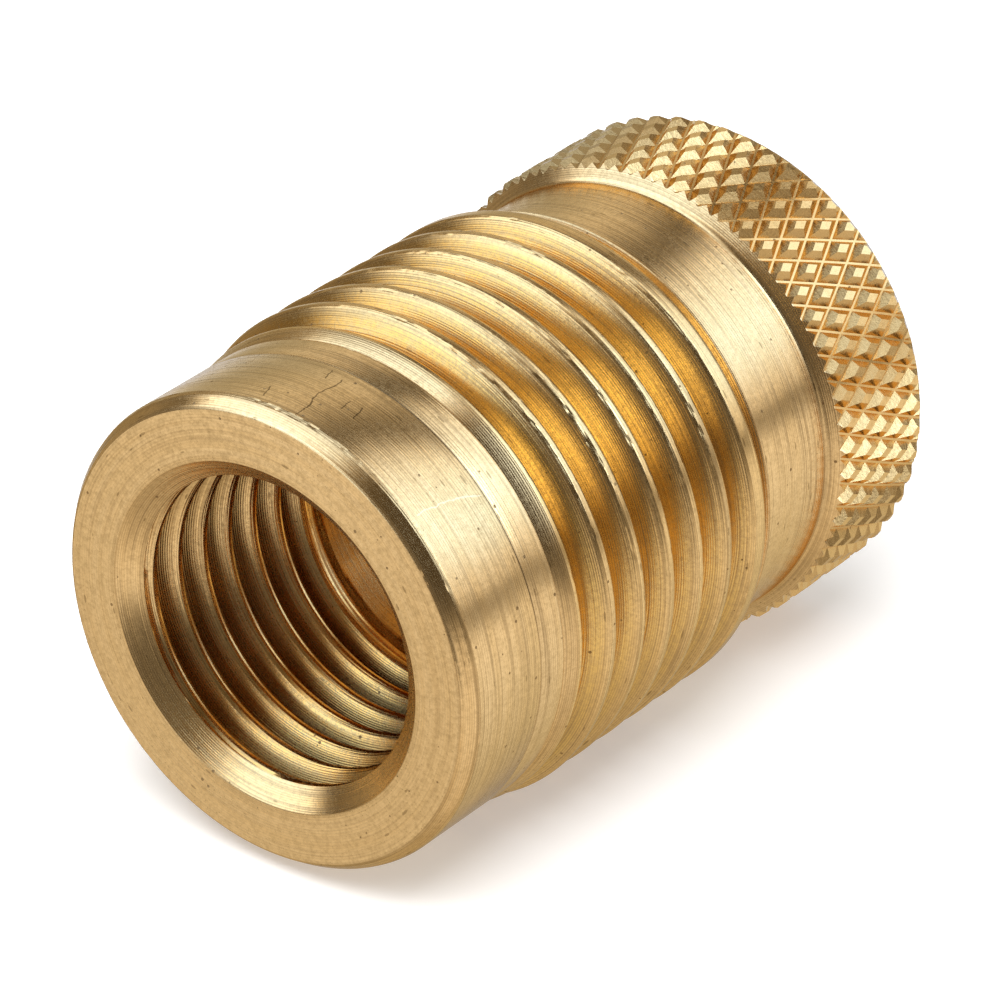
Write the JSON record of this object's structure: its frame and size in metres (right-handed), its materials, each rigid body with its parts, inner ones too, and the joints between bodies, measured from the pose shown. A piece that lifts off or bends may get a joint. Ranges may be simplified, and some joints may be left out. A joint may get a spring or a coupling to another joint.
{
  "type": "threaded insert",
  "caption": "Turned brass insert with a tapped through bore, a plain chamfered pilot, V-grooved ribs, a plain neck and a diamond-knurled head.",
  "frame": {"origin": "centre of the head's end face, on the bore's axis; the part stands on that face", "axes": "+Z along the bore's axis, from the knurled head to the threaded mouth in the pilot"},
  "size_m": [0.0172, 0.0172, 0.0246],
  "materials": {
    "brass": "as turned, fine circumferential tool lines, bright on the edges and slightly tarnished"
  },
  "bodies": {
    "root": {"insert_body": "brass"}
  },
  "joints": []
}
